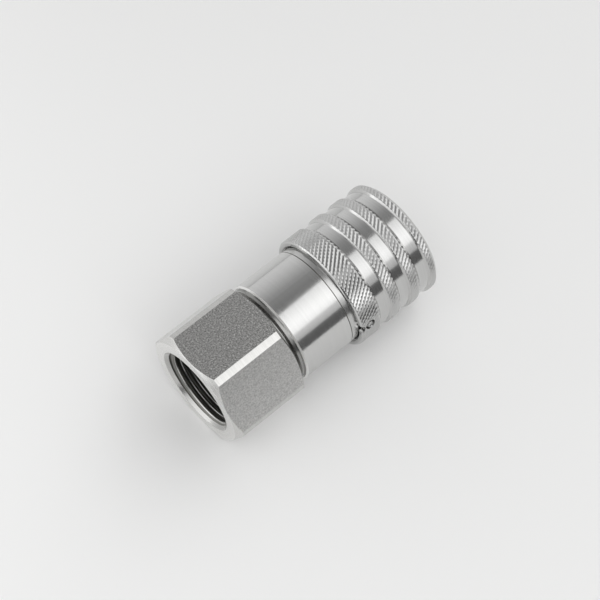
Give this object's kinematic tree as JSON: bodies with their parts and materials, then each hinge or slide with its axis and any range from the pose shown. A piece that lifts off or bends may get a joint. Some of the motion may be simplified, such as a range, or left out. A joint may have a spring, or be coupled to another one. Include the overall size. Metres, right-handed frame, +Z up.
{
  "type": "quick coupling",
  "caption": "Socket half of a flat-face hydraulic quick coupling: hexagon end with a female pipe-thread port, turned body, knurled locking sleeve and sliding valve.",
  "frame": {"origin": "centre of the port face, on the coupling's axis", "axes": "+X along the axis, out of the mating end; +Z up, with one flat of the hexagon facing down"},
  "size_m": [0.0792, 0.0402, 0.0384],
  "materials": {
    "adapter_steel": "turned ends, grained flats",
    "body_steel": "fine turned",
    "sleeve_steel": "knurled and turned",
    "valve_steel": "turned",
    "spring_steel": "drawn wire",
    "ball_steel": "polished",
    "seal_rubber": "matte",
    "backup_plastic": "waxy"
  },
  "bodies": {
    "housing": {"hex_adapter": "adapter_steel", "adapter_seal": "seal_rubber", "adapter_backup_ring": "backup_plastic", "coupling_body": "body_steel", "sleeve_spring": "spring_steel", "sleeve_stop_ring": "spring_steel", "sleeve_lock_ball": "ball_steel", "valve_spring": "spring_steel", "valve_stem": "valve_steel", "stem_seal": "seal_rubber", "stem_guide": "valve_steel", "stem_nut": "valve_steel", "plug_seal": "seal_rubber", "plug_backup_ring": "backup_plastic"},
    "sleeve": {"locking_sleeve": "sleeve_steel"},
    "valve": {"valve_sleeve": "valve_steel", "valve_seal": "seal_rubber", "valve_backup_ring": "backup_plastic"},
    "locking_ball_1": {"locking_ball_1": "ball_steel"},
    "locking_ball_2": {"locking_ball_2": "ball_steel"},
    "locking_ball_3": {"locking_ball_3": "ball_steel"},
    "locking_ball_4": {"locking_ball_4": "ball_steel"},
    "locking_ball_5": {"locking_ball_5": "ball_steel"},
    "locking_ball_6": {"locking_ball_6": "ball_steel"},
    "locking_ball_7": {"locking_ball_7": "ball_steel"},
    "locking_ball_8": {"locking_ball_8": "ball_steel"}
  },
  "joints": [
    {"name": "sleeve_slide", "type": "slide", "parent": "housing", "child": "sleeve", "axis": [1, 0, 0], "range_m": [0, 0.0066], "stiffness_N_per_m": 1500, "springref_m": -0.004, "deforming": ["sleeve_spring"]},
    {"name": "valve_slide", "type": "slide", "parent": "housing", "child": "valve", "axis": [1, 0, 0], "range_m": [-0.014, 0], "deforming": ["valve_spring"]},
    {"name": "ball_1_slide", "type": "slide", "parent": "housing", "child": "locking_ball_1", "axis": [0, 0, 1], "range_m": [-0.001, 0]},
    {"name": "ball_2_slide", "type": "slide", "parent": "housing", "child": "locking_ball_2", "axis": [0, -0.7071, 0.7071], "range_m": [-0.001, 0]},
    {"name": "ball_3_slide", "type": "slide", "parent": "housing", "child": "locking_ball_3", "axis": [0, -1, 0], "range_m": [-0.001, 0]},
    {"name": "ball_4_slide", "type": "slide", "parent": "housing", "child": "locking_ball_4", "axis": [0, -0.7071, -0.7071], "range_m": [-0.001, 0]},
    {"name": "ball_5_slide", "type": "slide", "parent": "housing", "child": "locking_ball_5", "axis": [0, 0, -1], "range_m": [-0.001, 0]},
    {"name": "ball_6_slide", "type": "slide", "parent": "housing", "child": "locking_ball_6", "axis": [0, 0.7071, -0.7071], "range_m": [-0.001, 0]},
    {"name": "ball_7_slide", "type": "slide", "parent": "housing", "child": "locking_ball_7", "axis": [0, 1, 0], "range_m": [-0.001, 0]},
    {"name": "ball_8_slide", "type": "slide", "parent": "housing", "child": "locking_ball_8", "axis": [0, 0.7071, 0.7071], "range_m": [-0.001, 0]}
  ],
  "couplings": [
    {"joint": "valve_slide", "follows": "sleeve_slide", "ratio": -2.1212},
    {"joint": "ball_1_slide", "follows": "sleeve_slide", "ratio": -0.1515},
    {"joint": "ball_2_slide", "follows": "sleeve_slide", "ratio": -0.1515},
    {"joint": "ball_3_slide", "follows": "sleeve_slide", "ratio": -0.1515},
    {"joint": "ball_4_slide", "follows": "sleeve_slide", "ratio": -0.1515},
    {"joint": "ball_5_slide", "follows": "sleeve_slide", "ratio": -0.1515},
    {"joint": "ball_6_slide", "follows": "sleeve_slide", "ratio": -0.1515},
    {"joint": "ball_7_slide", "follows": "sleeve_slide", "ratio": -0.1515},
    {"joint": "ball_8_slide", "follows": "sleeve_slide", "ratio": -0.1515}
  ]
}
